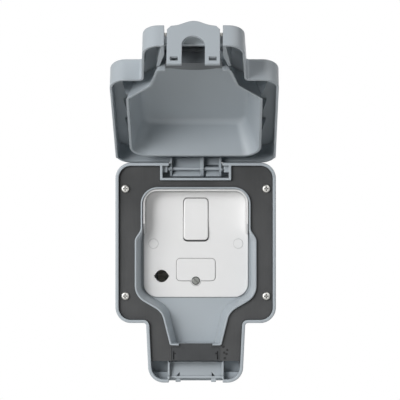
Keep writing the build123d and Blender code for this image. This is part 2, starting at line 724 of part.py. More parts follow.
def make_faceplate():
    """The white moulding: a plate with a wall round its upper half, and its openings."""
    plate = prism(PLATE, PLATE_BACK, PLATE_FRONT)
    plate = fillet(rim_edges(plate, PLATE_FRONT), 0.8)
    wall = prism(grown(PLATE, -0.3), PLATE_FRONT - 1.2, BOWL_RIM - UPSTAND_DROP)
    wall -= prism(grown(PLATE, -0.3 - UPSTAND_WALL), 0, RIM)
    keep = side_slab(
        -CASE_WIDTH,
        CASE_WIDTH,
        [
            (UPSTAND_END_Z, 0.0),
            (UPSTAND_END_Z, PLATE_FRONT),
            (UPSTAND_END_Z + UPSTAND_SLOPE, RIM + 1),
            (TOP + 1, RIM + 1),
            (TOP + 1, 0.0),
        ],
    )
    plate += wall & keep
    plate -= rocker_opening()
    plate -= carrier_opening(0)
    flex_hole = Plane.XZ.offset(PLATE_BACK - 1) * Pos(FLEX_X, FLEX_Z) * flex_shape()
    plate -= extrude(flex_hole, PLATE_THICKNESS + 2, dir=(0, -1, 0))
    for x, z in module_screws_xz():
        plate -= post(x, z, CAP_RADIUS + 0.1, MODULE_SEAT, RIM)
        plate -= post(x, z, 1.9, 0, RIM)
    return plate


def flex_shape():
    """The flex outlet seen from the front: a round hole drawn out to a point on either side."""
    touch_x = FLEX_RADIUS**2 / FLEX_POINT
    touch_z = (FLEX_RADIUS**2 - touch_x**2) ** 0.5
    upper = [(FLEX_POINT, 0), (touch_x, touch_z), (-touch_x, touch_z)]
    lower = [(-x, -z) for x, z in upper]
    kite = Polyline(*upper, *lower, close=True)
    return Circle(FLEX_RADIUS) + make_face(kite)


def rocker_opening():
    """The hole in the plate that the rocker stands in."""
    outline = rounded_rectangle(
        ROCKER_WIDTH + 2 * ROCKER_SIDE_GAP, ROCKER_HEIGHT + 2 * ROCKER_END_GAP, ROCKER_Z, ROCKER_CORNER + 0.2
    )
    return prism(outline, PLATE_BACK - 1, RIM)


def carrier_outline(gap):
    return rounded_rectangle(
        CARRIER_WIDTH + 2 * gap, CARRIER_HEIGHT + 2 * gap, CARRIER_Z, CARRIER_CORNER + gap
    )


def carrier_opening(back):
    """The hole for the fuse carrier, with the round seat of its screw."""
    hole = prism(carrier_outline(CARRIER_GAP), back, RIM)
    return hole + post(0, CARRIER_SCREW_Z, CARRIER_EAR_RADIUS + CARRIER_GAP, PLATE_BACK - 1, RIM)


def make_screw_caps():
    """Two snap-in caps over the accessory's screws."""
    caps = []
    for x, z in module_screws_xz():
        front = PLATE_FRONT + CAP_PROUD
        cap = post(x, z, CAP_RADIUS, front - CAP_THICKNESS, front)
        caps.append(fillet(rim_edges(cap, front), CAP_ROUND))
    return Compound(caps)


def make_module_screws():
    """Two machine screws that hold the accessory to the frame."""
    screws = []
    for x, z in module_screws_xz():
        screw = pan_screw(
            x,
            z,
            MODULE_SEAT,
            MODULE_SCREW_SHANK,
            MODULE_SCREW_HEAD,
            MODULE_SCREW_HEAD_HEIGHT,
            MODULE_SCREW_LENGTH,
        )
        reach, half = MODULE_SCREW_HEAD + 1, MODULE_SCREW_SLOT / 2
        floor = MODULE_SEAT + MODULE_SCREW_HEAD_HEIGHT - MODULE_SCREW_SLOT_DEPTH
        slot = block(x - reach, x + reach, z - half, z + half, floor, RIM)
        screws.append(screw - slot)
    return Compound(screws)


def terminal_room(x, z, width, height):
    """A rear-facing chamber round a terminal."""
    gap = 0.1
    return block(
        x - width / 2 - gap,
        x + width / 2 + gap,
        z - height / 2 - gap,
        z + height / 2 + gap,
        HOUSING_BACK - 1,
        TERMINAL_BACK + TERMINAL_DEPTH,
    )


def make_module_housing():
    """The rear moulding behind the plate, with rooms for the switch, the fuse and the terminals."""
    housing = prism(HOUSING, HOUSING_BACK, PLATE_BACK)
    switch_room = block(
        -SWITCH_ROOM_HALF,
        SWITCH_ROOM_HALF,
        ROCKER_Z - SWITCH_ROOM_HEIGHT / 2,
        ROCKER_Z + SWITCH_ROOM_HEIGHT / 2,
        HOUSING_BACK + HOUSING_WALL,
        PLATE_BACK + 1,
    )
    housing -= switch_room
    for x in (-SWITCH_ROOM_HALF, SWITCH_ROOM_HALF):
        inward = 1 if x < 0 else -1
        bearing = block(
            x,
            x + inward * (SWITCH_ROOM_HALF - ROCKER_WIDTH / 2 - 0.3),
            ROCKER_Z - 3.2,
            ROCKER_Z + 3.2,
            HOUSING_BACK + HOUSING_WALL,
            PLATE_BACK,
        )
        housing += bearing
    reach = ROCKER_WIDTH / 2 + TRUNNION_LENGTH + 0.15
    housing -= bar(-reach, reach, ROCKER_Z, ROCKER_DEPTH, TRUNNION_RADIUS + PIN_FIT)
    slot = TRUNNION_RADIUS + PIN_FIT
    housing -= block(-reach, reach, ROCKER_Z - slot, ROCKER_Z + slot, ROCKER_DEPTH, PLATE_BACK + 1)
    housing -= prism(grown(carrier_outline(0), CARRIER_ROOM_GAP), FUSE_DEPTH - 7.0, PLATE_BACK + 1)
    housing += block(
        -2.8, 2.8, CARRIER_SCREW_Z - 3.0, CARRIER_SCREW_Z + 3.0, FUSE_DEPTH - 7.5, PLATE_BACK - 1.3
    )
    housing -= post(0, CARRIER_SCREW_Z, CARRIER_SCREW_SHANK + PIN_FIT, PLATE_BACK - 12.0, PLATE_BACK + 1)
    housing -= post(0, CARRIER_SCREW_Z, CARRIER_EAR_RADIUS + CARRIER_GAP, PLATE_BACK - 1.2, PLATE_BACK + 1)
    housing -= post(FLEX_X, FLEX_Z, FLEX_RADIUS + 0.6, -1, RIM)
    for z in clamp_screws_z():
        housing -= post(FLEX_X, z, CLAMP_SCREW, 0, HOUSING_BACK + 8)
    for x, z in TERMINALS.values():
        housing -= terminal_room(x, z, TERMINAL_SIZE, TERMINAL_SIZE)
    housing -= terminal_room(EARTH_X, EARTH_Z, TERMINAL_SIZE, EARTH_LENGTH)
    return housing


def terminal(x, z, width, height, wire_z):
    """A brass block with a wire hole across it and a screw hole from the rear."""
    front = TERMINAL_BACK + TERMINAL_DEPTH
    body = block(x - width / 2, x + width / 2, z - height / 2, z + height / 2, TERMINAL_BACK, front)
    body = chamfer(body.edges().filter_by(Axis.Y), TERMINAL_BEVEL)
    wire_depth = front - WIRE_HOLE_DROP
    for hole_z in wire_z:
        body -= bar(x - width, x + width, hole_z, wire_depth, WIRE_HOLE_RADIUS)
        body -= post(x, hole_z, TERMINAL_SCREW_HOLE, TERMINAL_BACK - 1, wire_depth)
    return body


def earth_holes():
    return [EARTH_Z - EARTH_LENGTH / 4, EARTH_Z + EARTH_LENGTH / 4]


def make_terminal_screws():
    """One slotted screw for each wire hole, driven from the rear."""
    places = list(TERMINALS.values()) + [(EARTH_X, z) for z in earth_holes()]
    screws = []
    head_back = TERMINAL_BACK - TERMINAL_SCREW_HEAD_HEIGHT
    reach, half = TERMINAL_SCREW_HEAD + 1, TERMINAL_SCREW_SLOT / 2
    for x, z in places:
        screw = post(x, z, TERMINAL_SCREW_SHANK, TERMINAL_BACK - 0.2, TERMINAL_BACK + TERMINAL_SCREW_REACH)
        screw += post(x, z, TERMINAL_SCREW_HEAD, head_back, TERMINAL_BACK)
        slot_floor = head_back + TERMINAL_SCREW_SLOT_DEPTH
        screw -= block(x - reach, x + reach, z - half, z + half, head_back - 1, slot_floor)
        screws.append(screw)
    return Compound(screws)


def make_rocker():
    """The rocker on its two trunnions, tilted with its foot out."""
    outline = rounded_rectangle(ROCKER_WIDTH, ROCKER_HEIGHT, ROCKER_Z, ROCKER_CORNER)
    front = PLATE_FRONT + ROCKER_PROUD
    rocker = prism(outline, front - ROCKER_THICKNESS, front)
    rocker = fillet(rim_edges(rocker, front), ROCKER_EDGE_ROUND)
    rocker -= prism(grown(outline, -ROCKER_WALL), front - ROCKER_THICKNESS - 1, front - ROCKER_FACE)
    reach = ROCKER_WIDTH / 2 - 0.5
    rocker += block(-reach, reach, ROCKER_Z - 2.6, ROCKER_Z + 2.6, ROCKER_DEPTH - 3.4, front - 1.5)
    for x in (-BLADE_SPREAD, BLADE_SPREAD):
        rocker += post(x, ROCKER_Z, 2.4, ROCKER_DEPTH - 5.4, front - 1.5)
        rocker -= post(x, ROCKER_Z, 1.75, ROCKER_DEPTH - 6, ROCKER_DEPTH + 2.0)
    reach = ROCKER_WIDTH / 2 + TRUNNION_LENGTH
    rocker += both_sides(bar(ROCKER_WIDTH / 2 - 1, reach, ROCKER_Z, ROCKER_DEPTH, TRUNNION_RADIUS))
    return rocker


def rocked(shape):
    """Tilts a piece with the rocker, foot towards the viewer."""
    return shape.rotate(Axis((0, -ROCKER_DEPTH, ROCKER_Z), (1, 0, 0)), -ROCKER_TILT)


def make_plungers():
    """Two plungers that push the blades over."""
    plungers = []
    for x in (-BLADE_SPREAD, BLADE_SPREAD):
        plunger = post(x, ROCKER_Z, 1.65, PLUNGER_TIP, PLUNGER_HEAD)
        plungers.append(chamfer(rim_edges(plunger, PLUNGER_TIP), 0.9))
    return Compound(plungers)


def make_plunger_springs():
    """The compressed springs behind the plungers, as coils of square wire."""
    springs = []
    seat = PLUNGER_HEAD + SPRING_WIRE
    height = ROCKER_DEPTH + 1.6 - seat
    for x in (-BLADE_SPREAD, BLADE_SPREAD):
        coil = Helix(SPRING_PITCH, height, SPRING_RADIUS)
        section = Plane(coil @ 0, z_dir=coil % 0) * Rectangle(SPRING_WIRE, SPRING_WIRE)
        wire = sweep(section, path=coil, is_frenet=True)
        springs.append(Pos(x, -seat, ROCKER_Z) * Rot(90, 0, 0) * wire)
    return Compound(springs)


def make_blades():
    """Two rocking contact blades with a silver tip at the top."""
    blades = []
    for x in (-BLADE_SPREAD, BLADE_SPREAD):
        half = BLADE_LENGTH / 2
        blade = block(
            x - BLADE_WIDTH / 2,
            x + BLADE_WIDTH / 2,
            ROCKER_Z - half,
            ROCKER_Z + half,
            BLADE_DEPTH - BLADE_THICKNESS,
            BLADE_DEPTH,
        )
        blade += post(x, ROCKER_Z + half - 2.0, 1.5, BLADE_DEPTH - BLADE_THICKNESS - 0.7, BLADE_DEPTH)
        blades.append(blade)
    return Compound(blades)


def blade_tilted(shape):
    """Tilts the blades against the rocker: their foot is pushed in."""
    return shape.rotate(Axis((0, -BLADE_DEPTH + BLADE_THICKNESS, ROCKER_Z), (1, 0, 0)), BLADE_TILT)


def make_centre_contacts():
    """The two brass posts that the blades rock on."""
    posts = []
    for x in (-BLADE_SPREAD, BLADE_SPREAD):
        foot = HOUSING_BACK + HOUSING_WALL
        top = BLADE_DEPTH - BLADE_THICKNESS - 0.35
        edge = side_slab(
            x - BLADE_WIDTH / 2 + 0.3,
            x + BLADE_WIDTH / 2 - 0.3,
            [(ROCKER_Z - 1.6, foot), (ROCKER_Z - 0.3, top), (ROCKER_Z + 0.3, top), (ROCKER_Z + 1.6, foot)],
        )
        posts.append(edge)
    return Compound(posts)


def make_fixed_contacts():
    """The two contacts that the blades close on when the rocker is on."""
    contacts = []
    z = ROCKER_Z + BLADE_LENGTH / 2 - 2.0
    foot = HOUSING_BACK + HOUSING_WALL
    swing = (BLADE_LENGTH / 2 - 2.0) * sin(radians(BLADE_TILT))
    top = BLADE_DEPTH - BLADE_THICKNESS - 0.7 - swing - 0.35
    for x in (-BLADE_SPREAD, BLADE_SPREAD):
        strip = block(x - 2.2, x + 2.2, z - 2.4, z + 4.0, foot, foot + 1.0)
        contacts.append(strip + post(x, z, 1.5, foot + 0.5, top))
    return Compound(contacts)


def make_fuse_carrier():
    """The drawer that takes the fuse, with the round ear of its screw."""
    front = PLATE_FRONT + CARRIER_PROUD
    outline = carrier_outline(0)
    carrier = prism(outline, front - 3.0, front)
    ear = post(0, CARRIER_SCREW_Z, CARRIER_EAR_RADIUS, front - 3.0, front - 0.5)
    carrier = fillet(rim_edges(carrier, front), 0.5)
    carrier += ear
    body = prism(grown(outline, -0.6), front - CARRIER_BODY_DEPTH, front - 2.0)
    carrier += body - block(-3.2, 3.2, CARRIER_SCREW_Z - 4, CARRIER_SCREW_Z + 3.4, 0, front - 3.0)
    fuse_bed = bar(-FUSE_LENGTH / 2 - 0.1, FUSE_LENGTH / 2 + 0.1, CARRIER_Z, FUSE_DEPTH, FUSE_RADIUS + 0.05)
    below = block(
        -FUSE_LENGTH / 2 - 0.1,
        FUSE_LENGTH / 2 + 0.1,
        CARRIER_Z - FUSE_RADIUS - 0.05,
        CARRIER_Z + FUSE_RADIUS + 0.05,
        0,
        FUSE_DEPTH,
    )
    carrier -= fuse_bed + below
    for x in (-1, 1):
        window = block(x * 8.6, x * 14, CARRIER_Z - 5.2, CARRIER_Z + 5.2, 0, FUSE_DEPTH + 2.0)
        carrier -= window
    carrier -= post(0, CARRIER_SCREW_Z, 1.6, 0, RIM)
    carrier -= post(0, CARRIER_SCREW_Z, 3.0, front - 1.6, RIM)
    return carrier


def make_fuse_body():
    """The ceramic barrel of the cartridge fuse."""
    return bar(-FUSE_LENGTH / 2 + 0.5, FUSE_LENGTH / 2 - 0.5, CARRIER_Z, FUSE_DEPTH, FUSE_RADIUS - 0.35)


def make_fuse_caps():
    """The two plated end caps of the fuse."""
    end = FUSE_LENGTH / 2
    cap = bar(end - FUSE_CAP_LENGTH, end, CARRIER_Z, FUSE_DEPTH, FUSE_RADIUS)
    cap -= bar(end - FUSE_CAP_LENGTH - 1, end - 0.5, CARRIER_Z, FUSE_DEPTH, FUSE_RADIUS - 0.35)
    return Compound([cap, mirror(cap, about=Plane.YZ)])


def fuse_clip(side):
    """A brass clip that grips one end of the fuse, open to the viewer."""
    x0, x1 = side * 9.0, side * 13.0
    back = FUSE_DEPTH - 7.0
    spread = FUSE_RADIUS + 0.3
    clip = block(x0, x1, CARRIER_Z - spread - 0.6, CARRIER_Z + spread + 0.6, back, back + 0.6)
    for top in (-1, 1):
        z0 = CARRIER_Z + top * spread
        clip += block(x0, x1, z0, z0 + top * 0.6, back, FUSE_DEPTH + 1.4)
    return clip


def make_carrier_screw():
    """The slotted screw that holds the fuse carrier in."""
    front = PLATE_FRONT + CARRIER_PROUD
    screw = pan_screw(
        0, CARRIER_SCREW_Z, front - 1.6, CARRIER_SCREW_SHANK, CARRIER_SCREW_HEAD, 1.3, CARRIER_SCREW_LENGTH
    )
    slot = Pos(0, -front, CARRIER_SCREW_Z) * Rot(0, 45, 0) * Box(7.0, 1.4, 0.8)
    return screw - slot


def make_cord_clamp():
    """The bar that grips the flex behind the plate."""
    clamp = block(
        FLEX_X - CLAMP_WIDTH / 2,
        FLEX_X + CLAMP_WIDTH / 2,
        FLEX_Z - CLAMP_SPAN - 2.0,
        FLEX_Z + CLAMP_SPAN + 2.0,
        HOUSING_BACK - CLAMP_THICKNESS,
        HOUSING_BACK,
    )
    clamp -= bar(FLEX_X - 8, FLEX_X + 8, FLEX_Z, HOUSING_BACK + 1.6, 3.4)
    for z in clamp_screws_z():
        clamp -= post(FLEX_X, z, CLAMP_SCREW, 0, RIM)
    return clamp


def clamp_screws_z():
    return [FLEX_Z - CLAMP_SPAN, FLEX_Z + CLAMP_SPAN]


def make_clamp_screws():
    """Two screws through the clamp into the housing."""
    screws = []
    for z in clamp_screws_z():
        seat = HOUSING_BACK - CLAMP_THICKNESS
        screw = post(FLEX_X, z, CLAMP_SCREW, seat, seat + 9.0)
        screw += post(FLEX_X, z, 1.9, seat - 0.9, seat)
        screw -= block(FLEX_X - 3, FLEX_X + 3, z - 0.3, z + 0.3, seat - 1, seat - 0.4)
        screws.append(screw)
    return Compound(screws)


def make_lid_shell():
    """The lid, shut: skirt, front plate, raised middle with its inner wall, and hinge flap."""
    skirt = prism(CASE, LID_RIM, LID_PLATE_FRONT)
    skirt = fillet(rim_edges(skirt, LID_PLATE_FRONT), LID_EDGE_ROUND)
    dome = drafted(DOME, DOME_BACK, whole(DOME_FRONT_HALF), DOME_FRONT)
    dome = fillet(rim_edges(dome, DOME_FRONT), DOME_ROUND)
    skirt -= side_slab(
        -CASE_WIDTH,
        CASE_WIDTH,
        [
            (SHOULDER - CASE_CORNER, LID_PLATE_FRONT),
            (BOTTOM - 1, LID_PLATE_FRONT - LID_NECK_FALL),
            (BOTTOM - 1, LID_PLATE_FRONT + 1),
            (SHOULDER - CASE_CORNER, LID_PLATE_FRONT + 1),
        ],
    )
    shell = skirt - prism(grown(CASE, -LID_WALL), 0, LID_PLATE_BACK) + dome

    # Latch recess at the foot, with its two cheeks and a beaded inner wall
    recess_top = BOTTOM + LATCH_RECESS_LENGTH
    shell -= block(-LATCH_RECESS_HALF, LATCH_RECESS_HALF, BOTTOM - 1, recess_top, 0, DOME_FRONT)
    foot_x, foot_z, _ = DOME_HALF[-1]
    cheek = prism(
        [
            (LATCH_RECESS_HALF, BOTTOM + LID_WALL / 2, 0),
            (LATCH_RECESS_HALF + RECESS_WALL, BOTTOM + LID_WALL / 2, 0),
            (foot_x, foot_z + 0.5, 0),
            (foot_x - RECESS_WALL, foot_z + 0.5, 0),
            (LATCH_RECESS_HALF, recess_top, 0),
        ],
        LID_RIM + 0.6,
        LID_PLATE_BACK + 0.5,
    )
    shell += both_sides(cheek)
    shell += block(
        -LATCH_RECESS_HALF - RECESS_WALL,
        LATCH_RECESS_HALF + RECESS_WALL,
        recess_top,
        recess_top + RECESS_WALL,
        RIM + 8.6,
        LID_PLATE_BACK + 0.5,
    )
    bead = bar(-LATCH_RECESS_HALF, LATCH_RECESS_HALF, recess_top + 0.3, RIM + BEAD_HEIGHT, BEAD_RADIUS)
    shell += bead

    # Triangular gussets between the inner wall and the front plate
    wall_x = DOME_HALF[0][0]
    root_x = DOME_FRONT_HALF[0][0]
    for z in GUSSETS_Z:
        gusset = Plane.XY.offset(z) * make_face(
            Polyline(
                (root_x, -RIM - GUSSET_START),
                (wall_x, -RIM - GUSSET_START),
                (wall_x + GUSSET_REACH, -LID_PLATE_BACK + 1.5),
                (wall_x + GUSSET_REACH, -LID_PLATE_BACK - 0.5),
                (root_x, -LID_PLATE_BACK - 0.5),
                close=True,
            )
        )
        shell += both_sides(extrude(gusset, GUSSET, dir=(0, 0, 1)))

    cavity = drafted(
        grown(DOME, -DOME_WALL),
        DOME_BACK - 0.01,
        grown(whole(DOME_FRONT_HALF), -DOME_WALL),
        DOME_FRONT - LID_PLATE,
    )
    cavity = fillet(rim_edges(cavity, DOME_FRONT - LID_PLATE), DOME_INNER_ROUND)
    shell -= cavity

    # Way out for the flex, where the upper seal sits
    shell -= lid_seal_arch(LID_SEAL_GAP, LID_SEAL_FOOT_Z, foot_z + 9.0, DOME_BACK - 1)

    # Room for the swing over the top of the box
    shell -= block(
        -CASE_WIDTH, CASE_WIDTH, TOP - LID_RELIEF_LENGTH, TOP + 1, LID_RIM - 1, RIM + LID_SWING_RELIEF
    )

    # Hinge flap, its two arms and the rib between them
    flap_top = TOP - FLAP_GAP
    flap_back = flap_top - FLAP_THICKNESS
    flap_foot = RIM - FLAP_DROP
    flap = block(-FLAP_HALF_WIDTH, FLAP_HALF_WIDTH, flap_back, flap_top, flap_foot, LID_RIM + ARM_ROOT)
    arm_foot = HINGE_Z - PIN_RADIUS - ARM_WALL
    arm_outline = [
        (flap_top, RIM + ARM_ROOT),
        (flap_top, flap_foot),
        (flap_back, flap_foot),
        (arm_foot + 0.4, HINGE_DEPTH - 1.6),
        (arm_foot, HINGE_DEPTH + 1.6),
        (arm_foot, RIM + ARM_ROOT),
    ]
    arm = side_slab(FLAP_HALF_WIDTH - HINGE_ARM, FLAP_HALF_WIDTH, arm_outline)
    rib = side_slab(HINGE_RIB_X - HINGE_RIB / 2, HINGE_RIB_X + HINGE_RIB / 2, arm_outline)
    flap -= block(*FLAP_WINDOW_X, HINGE_Z, TOP, RIM - FLAP_WINDOW_DROP[1], RIM - FLAP_WINDOW_DROP[0])
    flap -= block(*FLAP_NOTCH_X, HINGE_Z, TOP, RIM - FLAP_DROP - 1, RIM - FLAP_NOTCH_DROP)
    hinge = flap + both_sides(arm) + rib
    hinge += both_sides(
        bar(FLAP_HALF_WIDTH - 0.2, FLAP_HALF_WIDTH + 0.7, HINGE_Z - 2.2, HINGE_DEPTH - 1.9, 0.9)
    )
    shell += hinge
    shell -= bar(-FLAP_HALF_WIDTH - 1, FLAP_HALF_WIDTH + 1, HINGE_Z, HINGE_DEPTH, PIN_RADIUS)

    # Bearings for the latch pin
    shell -= bar(
        -LATCH_RECESS_HALF - RECESS_WALL,
        LATCH_RECESS_HALF + RECESS_WALL,
        BOTTOM + LATCH_PIVOT_IN,
        RIM + LATCH_PIVOT_HEIGHT,
        PIN_RADIUS,
    )
    return shell


def make_hinge_pin():
    """The moulded pin that the lid turns on."""
    reach = POCKET_HALF_WIDTH - 0.7
    pin = bar(-reach, reach, HINGE_Z, HINGE_DEPTH, PIN_RADIUS)
    return chamfer(pin.edges().filter_by(GeomType.CIRCLE), 0.25)


def lid_seal_arch(gap, foot, top, back):
    """The arch that the upper seal fills at the end of the lid's inner wall."""
    half = LID_SEAL_HALF_WIDTH + gap
    shoulder = LID_SEAL_SHOULDER
    crown = LID_SEAL_CROWN + gap
    face = make_face(
        Polyline((-half, RIM + shoulder), (-half, back), (half, back), (half, RIM + shoulder))
        + ThreePointArc((half, RIM + shoulder), (0, RIM + crown), (-half, RIM + shoulder))
    )
    seen_from_above = Plane(origin=(0, 0, foot), x_dir=(1, 0, 0), z_dir=(0, 0, -1))
    return extrude(seen_from_above * face, top - foot, dir=(0, 0, 1))


def make_lid_cable_seal():
    """The soft upper seal: an arched plug with a thinner middle and a crescent foot."""
    foot = LID_SEAL_FOOT_Z
    seal = lid_seal_arch(0, foot, foot + LID_SEAL_THICKNESS, LID_RIM)
    upper = block(-LID_SEAL_MEMBRANE, LID_SEAL_MEMBRANE, foot - 1, foot + 2.0, RIM + 2.6, DOME_FRONT)
    seal -= upper & lid_seal_arch(-2.0, foot - 1, foot + 2.0, LID_RIM)
    centre_z = foot + 5.0 + LID_SEAL_BULGE - LID_SEAL_BULGE_RADIUS
    crescent = post(0, centre_z, LID_SEAL_BULGE_RADIUS, LID_RIM, RIM + 3.0)
    reach = LID_SEAL_HALF_WIDTH
    return seal + (crescent & block(-reach, reach, foot + 4.0, foot + 12.0, 0, DOME_FRONT))


def make_latch():
    """The latch, shut: a plate with an arch for the flex, two slots, a finger tab and a barrel."""
    half = LATCH_WIDTH / 2
    foot = -LATCH_REACH
    shoulder_x = half - LATCH_CORNER
    rise = LATCH_TAB_HEIGHT - LATCH_SHOULDER_HEIGHT
    springing = LATCH_ARCH_TOP - LATCH_ARCH_RISE
    flank = [(0.64 * shoulder_x, 0.26 * rise), (0.34 * shoulder_x, 0.7 * rise)]
    right = [(x, LATCH_SHOULDER_HEIGHT + up) for x, up in [(shoulder_x, 0)] + flank]
    left = [(-x, up) for x, up in right[::-1]]
    outline = Line((LATCH_ARCH_HALF, springing), (LATCH_ARCH_HALF, foot))
    outline += Polyline(
        (LATCH_ARCH_HALF, foot), (half, foot), (half, LATCH_SHOULDER_HEIGHT - 1.1 * LATCH_CORNER), right[0]
    )
    outline += Spline(*right, (0, LATCH_TAB_HEIGHT), *left, tangents=[(-1, 0.15), (-1, -0.15)])
    outline += Polyline(
        left[-1], (-half, LATCH_SHOULDER_HEIGHT - 1.1 * LATCH_CORNER), (-half, foot), (-LATCH_ARCH_HALF, foot)
    )
    outline += Line((-LATCH_ARCH_HALF, foot), (-LATCH_ARCH_HALF, springing))
    outline += ThreePointArc((-LATCH_ARCH_HALF, springing), (0, LATCH_ARCH_TOP), (LATCH_ARCH_HALF, springing))
    plate = make_face(outline)
    # Drawn on the plate's outer face: up in the drawing is towards the viewer
    seen_from_below = Plane(origin=(0, -RIM, LATCH_OUTER_Z), x_dir=(1, 0, 0), z_dir=(0, 0, -1))
    latch = extrude(seen_from_below * plate, LATCH_THICKNESS, dir=(0, 0, 1))
    slot_depth = RIM - SLOT_DROP
    slot = block(
        SLOT_X - SLOT_WIDTH / 2,
        SLOT_X + SLOT_WIDTH / 2,
        LATCH_OUTER_Z - 1,
        LATCH_INNER_Z + 1,
        slot_depth - SLOT_HEIGHT / 2,
        slot_depth + SLOT_HEIGHT / 2,
    )
    latch -= both_sides(slot)
    pivot_z = BOTTOM + LATCH_PIVOT_IN
    pivot_depth = RIM + LATCH_PIVOT_HEIGHT
    knuckle = bar(LATCH_KNUCKLE_X, half - 0.2, pivot_z, pivot_depth, LATCH_BARREL_RADIUS)
    low, high = pivot_depth - LATCH_BARREL_RADIUS, pivot_depth + LATCH_BARREL_RADIUS
    web = block(LATCH_KNUCKLE_X, half - 0.2, LATCH_INNER_Z - 0.5, pivot_z, low, high)
    latch += both_sides(knuckle + web)
    latch -= bar(-half - 1, half + 1, pivot_z, pivot_depth, PIN_RADIUS + PIN_FIT)
    return latch


def make_latch_pin():
    """The steel pin across the latch recess."""
    reach = LATCH_RECESS_HALF + RECESS_WALL - 0.1
    return bar(-reach, reach, BOTTOM + LATCH_PIVOT_IN, RIM + LATCH_PIVOT_HEIGHT, PIN_RADIUS)


def save(name, shape):
    export_step(shape, f"parts/{name}.step")


def main():
    os.makedirs("parts", exist_ok=True)
    save("back_box", make_back_box())
    save("box_gasket", make_box_gasket())
    save("front_frame", make_front_frame())
    save("fixing_inserts", make_fixing_inserts())
    save("sealing_mat", make_sealing_mat())
    save("frame_screws", make_frame_screws())
    save("base_cable_seal", make_base_cable_seal())
    save("faceplate", make_faceplate())
    save("screw_caps", make_screw_caps())
    save("module_screws", make_module_screws())
    save("module_housing", make_module_housing())
    for name, (x, z) in TERMINALS.items():
        save(name, terminal(x, z, TERMINAL_SIZE, TERMINAL_SIZE, [z]))
    save("earth_terminal", terminal(EARTH_X, EARTH_Z, TERMINAL_SIZE, EARTH_LENGTH, earth_holes()))
    save("terminal_screws", make_terminal_screws())
    save("centre_contacts", make_centre_contacts())
    save("fixed_contacts", make_fixed_contacts())
    save("fuse_clip_left", fuse_clip(-1))
    save("fuse_clip_right", fuse_clip(1))
    save("cord_clamp", make_cord_clamp())
    save("clamp_screws", make_clamp_screws())
    save("rocker", rocked(make_rocker()))
    save("plungers", rocked(make_plungers()))
    save("plunger_springs", rocked(make_plunger_springs()))
    save("switch_blades", blade_tilted(make_blades()))
    save("fuse_carrier", make_fuse_carrier())
    save("fuse_body", make_fuse_body())
    save("fuse_caps", make_fuse_caps())
    save("carrier_screw", make_carrier_screw())
    save("lid_shell", swing_open(make_lid_shell()))
    save("hinge_pin", make_hinge_pin())
    save("lid_cable_seal", swing_open(make_lid_cable_seal()))
    save("latch_clip", swing_open(make_latch()))
    save("latch_pin", swing_open(make_latch_pin()))


if __name__ == "__main__":
    main()
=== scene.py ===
from math import cos, radians, sin

import bmesh
import bpy
from bpy.props import FloatProperty, FloatVectorProperty, PointerProperty
from mathutils import Matrix, Vector


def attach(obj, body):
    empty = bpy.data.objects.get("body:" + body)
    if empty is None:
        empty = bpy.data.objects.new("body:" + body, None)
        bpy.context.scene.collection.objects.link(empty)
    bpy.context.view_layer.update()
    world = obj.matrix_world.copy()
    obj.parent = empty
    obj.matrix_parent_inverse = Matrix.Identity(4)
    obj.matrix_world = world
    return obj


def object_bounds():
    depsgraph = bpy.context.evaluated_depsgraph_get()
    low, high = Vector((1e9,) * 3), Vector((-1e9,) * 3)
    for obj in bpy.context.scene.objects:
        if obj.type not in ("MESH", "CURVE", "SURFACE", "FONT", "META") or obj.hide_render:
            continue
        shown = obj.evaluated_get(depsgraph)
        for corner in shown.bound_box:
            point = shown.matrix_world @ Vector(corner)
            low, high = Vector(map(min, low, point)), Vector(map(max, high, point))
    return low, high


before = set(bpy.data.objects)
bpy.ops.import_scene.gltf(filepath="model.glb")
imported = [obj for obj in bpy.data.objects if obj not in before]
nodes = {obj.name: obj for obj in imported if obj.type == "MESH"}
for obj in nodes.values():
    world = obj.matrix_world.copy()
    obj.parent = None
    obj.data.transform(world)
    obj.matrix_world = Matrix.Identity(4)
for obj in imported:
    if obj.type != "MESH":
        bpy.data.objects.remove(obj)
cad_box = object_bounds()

bl_info = {
    "name": "Weatherproof Fused Spur",
    "version": (1, 0, 0),
    "blender": (4, 5, 0),
    "location": "View3D > Sidebar > Fused Spur",
    "description": "Finishes, small mouldings and a plain studio for a weatherproof switched fused spur",
    "category": "Object",
}

MM = 0.001

# Points closer than this, in metres, are one point
MERGE_DISTANCE = 1e-7

# Where the pips stand on the mat, as X and Z in millimetres
PIPS = [(19.6, -73.4), (22.3, -75.7), (20.1, -77.5), (21.8, -78.5), (20.5, -81.4)]
PIP_SIDES = 24
PIP_EDGE_STEPS = 4
# The top of a pip is this share of its foot, and the foot goes this far into the mat
PIP_TAPER = 0.86
PIP_SUNK = 0.2 * MM

# A noise pattern mostly stays between these two values
NOISE_LOW = 0.3
NOISE_HIGH = 0.7

# Painted shade of the open lid: the rubber is darkened towards the upper one of these two heights
LID_SHADE_FROM = -10 * MM
LID_SHADE_TO = 45 * MM

# How far the ripple of a pressed moulding moves its roughness, either way
RIPPLE_GLOSS = 0.02

# Half the side of the floor, in metres, and the glow that keeps its paper white to the camera
FLOOR_HALF_SIDE = 0.55
PAPER_GLOW = 0.4

# The point that the lamps face, in metres
LAMP_TARGET = Vector((0, -0.05, 0.03))
# Each soft box: its name, its power's name, its side in metres, then its azimuth and elevation in
# degrees and its distance in metres from the target
LAMPS = (
    ("key_lamp", "key_power", 1.0, -45, 15, 1.4),
    ("accent_lamp", "accent_power", 0.5, -30, 12, 1.4),
    ("fill_lamp", "fill_power", 1.2, 60, 50, 1.6),
    ("rear_lamp", "rear_power", 1.2, 160, 40, 1.6),
)

# The lens and its sensor in millimetres, the place and the far limit in metres, the turns in degrees
CAMERA_LENS = 191.4
CAMERA_SENSOR = 36.0
CAMERA_FAR = 20.0
CAMERA_PLACE = (0.018, -1.546, 0.015)
CAMERA_TILT = 90.58
CAMERA_TURN = 0.57


